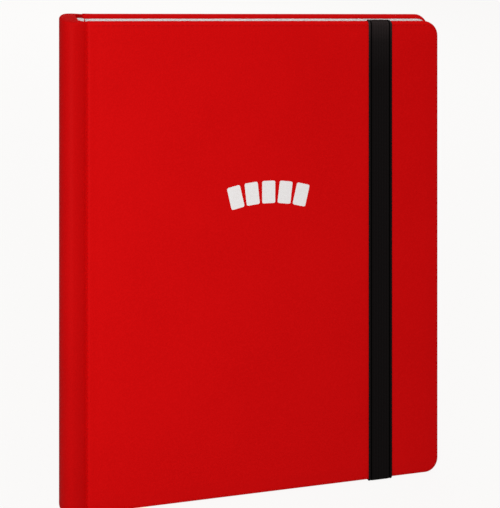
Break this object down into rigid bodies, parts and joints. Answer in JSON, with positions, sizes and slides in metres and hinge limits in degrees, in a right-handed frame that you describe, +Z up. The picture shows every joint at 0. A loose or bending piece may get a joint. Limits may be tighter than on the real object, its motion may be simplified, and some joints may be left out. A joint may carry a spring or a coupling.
{
  "type": "trading card binder",
  "caption": "Upright padded card binder with two hinged red leatherette covers, a rounded spine, fanning pocket leaves and a black elastic closing strap.",
  "frame": {"origin": "middle of the bottom of the binder's box, as it stands upright on its bottom edges", "axes": "+X from the spine to the fore edge, +Y from the front cover to the back cover, +Z up along the spine"},
  "size_m": [0.274, 0.0212, 0.3274],
  "materials": {
    "red_leatherette": "embossed fine grain, semi-matte",
    "wadding": "matte",
    "grey_board": "matte",
    "white_lining": "matte",
    "black_elastic": "woven, matte",
    "pocket_film": "frosted film",
    "binding_tape": "matte"
  },
  "bodies": {
    "spine": {"spine_skin": "red_leatherette", "spine_foam": "wadding", "spine_board": "grey_board", "spine_lining": "white_lining", "binding_strip": "binding_tape", "front_hinge_skin": "red_leatherette", "back_hinge_skin": "red_leatherette", "front_hinge_lining": "white_lining", "back_hinge_lining": "white_lining"},
    "front_cover": {"front_skin": "red_leatherette", "front_foam": "wadding", "front_board": "grey_board", "front_lining": "white_lining", "strap_anchor_top": "black_elastic", "strap_anchor_bottom": "black_elastic"},
    "back_cover": {"back_skin": "red_leatherette", "back_foam": "wadding", "back_board": "grey_board", "back_lining": "white_lining"},
    "strap": {"elastic_strap": "black_elastic"},
    "leaf_01": {"leaf_01": "pocket_film"},
    "leaf_02": {"leaf_02": "pocket_film"},
    "leaf_03": {"leaf_03": "pocket_film"},
    "leaf_04": {"leaf_04": "pocket_film"},
    "leaf_05": {"leaf_05": "pocket_film"},
    "leaf_06": {"leaf_06": "pocket_film"},
    "leaf_07": {"leaf_07": "pocket_film"},
    "leaf_08": {"leaf_08": "pocket_film"}
  },
  "joints": [
    {"name": "front_cover_hinge", "type": "hinge", "parent": "spine", "child": "front_cover", "pos_m": [-0.121, -0.00775, 0.1637], "axis": [0, 0, -1], "range_deg": [0, 90], "deforming": ["front_hinge_skin", "front_hinge_lining"]},
    {"name": "back_cover_hinge", "type": "hinge", "parent": "spine", "child": "back_cover", "pos_m": [-0.121, 0.00885, 0.1637], "axis": [0, 0, 1], "range_deg": [0, 90], "deforming": ["back_hinge_skin", "back_hinge_lining"]},
    {"name": "strap_slide", "type": "slide", "parent": "front_cover", "child": "strap", "axis": [1, 0, 0], "range_m": [0, 0.064], "stiffness_N_per_m": 40},
    {"name": "leaf_01_turn", "type": "hinge", "parent": "spine", "child": "leaf_01", "pos_m": [-0.118, -0.00128, 0.1637], "axis": [0, 0, -1], "range_deg": [0, 76.6]},
    {"name": "leaf_02_turn", "type": "hinge", "parent": "spine", "child": "leaf_02", "pos_m": [-0.11732, -0.0006, 0.1637], "axis": [0, 0, -1], "range_deg": [0, 68.5]},
    {"name": "leaf_03_turn", "type": "hinge", "parent": "spine", "child": "leaf_03", "pos_m": [-0.11664, 0.00008, 0.1637], "axis": [0, 0, -1], "range_deg": [0, 60.4]},
    {"name": "leaf_04_turn", "type": "hinge", "parent": "spine", "child": "leaf_04", "pos_m": [-0.11596, 0.00076, 0.1637], "axis": [0, 0, -1], "range_deg": [0, 52.3]},
    {"name": "leaf_05_turn", "type": "hinge", "parent": "spine", "child": "leaf_05", "pos_m": [-0.11596, 0.00144, 0.1637], "axis": [0, 0, 1], "range_deg": [0, 52.3]},
    {"name": "leaf_06_turn", "type": "hinge", "parent": "spine", "child": "leaf_06", "pos_m": [-0.11664, 0.00212, 0.1637], "axis": [0, 0, 1], "range_deg": [0, 60.4]},
    {"name": "leaf_07_turn", "type": "hinge", "parent": "spine", "child": "leaf_07", "pos_m": [-0.11732, 0.0028, 0.1637], "axis": [0, 0, 1], "range_deg": [0, 68.5]},
    {"name": "leaf_08_turn", "type": "hinge", "parent": "spine", "child": "leaf_08", "pos_m": [-0.118, 0.00348, 0.1637], "axis": [0, 0, 1], "range_deg": [0, 76.6]}
  ],
  "couplings": [
    {"joint": "leaf_01_turn", "follows": "front_cover_hinge", "ratio": 0.84},
    {"joint": "leaf_02_turn", "follows": "front_cover_hinge", "ratio": 0.75},
    {"joint": "leaf_03_turn", "follows": "front_cover_hinge", "ratio": 0.66},
    {"joint": "leaf_04_turn", "follows": "front_cover_hinge", "ratio": 0.57},
    {"joint": "leaf_05_turn", "follows": "back_cover_hinge", "ratio": 0.57},
    {"joint": "leaf_06_turn", "follows": "back_cover_hinge", "ratio": 0.66},
    {"joint": "leaf_07_turn", "follows": "back_cover_hinge", "ratio": 0.75},
    {"joint": "leaf_08_turn", "follows": "back_cover_hinge", "ratio": 0.84}
  ]
}
